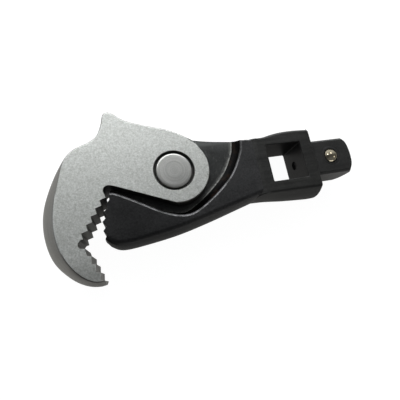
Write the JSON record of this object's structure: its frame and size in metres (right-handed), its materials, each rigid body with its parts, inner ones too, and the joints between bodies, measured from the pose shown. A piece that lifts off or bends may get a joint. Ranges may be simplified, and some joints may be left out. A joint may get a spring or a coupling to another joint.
{
  "type": "hook wrench head",
  "caption": "Self-adjusting hook wrench head: spring-closed toothed hook on a riveted pivot, toothed fixed jaw, female square socket and male square drive with a detent ball.",
  "frame": {"origin": "centre of the female square socket, at mid thickness", "axes": "+X towards the male square drive, along both drives' centre line; +Y towards the hook's thumb ear; +Z towards the face with the rivet head and the detent ball"},
  "size_m": [0.1046, 0.0531, 0.0145],
  "materials": {
    "black_oxide": "satin",
    "satin_steel": "matte",
    "turned_steel": "satin",
    "spring_steel": "satin",
    "ball_steel": "polished"
  },
  "bodies": {
    "handle": {"handle_body": "black_oxide", "pivot_pin": "turned_steel", "rivet_washer": "turned_steel", "return_spring": "spring_steel", "detent_spring": "spring_steel"},
    "hook": {"hook_jaw": "satin_steel"},
    "ball": {"detent_ball": "ball_steel"}
  },
  "joints": [
    {"name": "jaw_pivot", "type": "hinge", "parent": "handle", "child": "hook", "pos_m": [-0.03875, 0.00175, 0], "axis": [0, 0, -1], "range_deg": [0, 75], "stiffness_Nm_per_rad": 0.12, "springref_deg": -34.38, "deforming": ["return_spring"]},
    {"name": "detent_press", "type": "slide", "parent": "handle", "child": "ball", "axis": [0, 0, -1], "range_m": [0, 0.0014], "stiffness_N_per_m": 300, "springref_m": -0.006, "deforming": ["detent_spring"]}
  ]
}
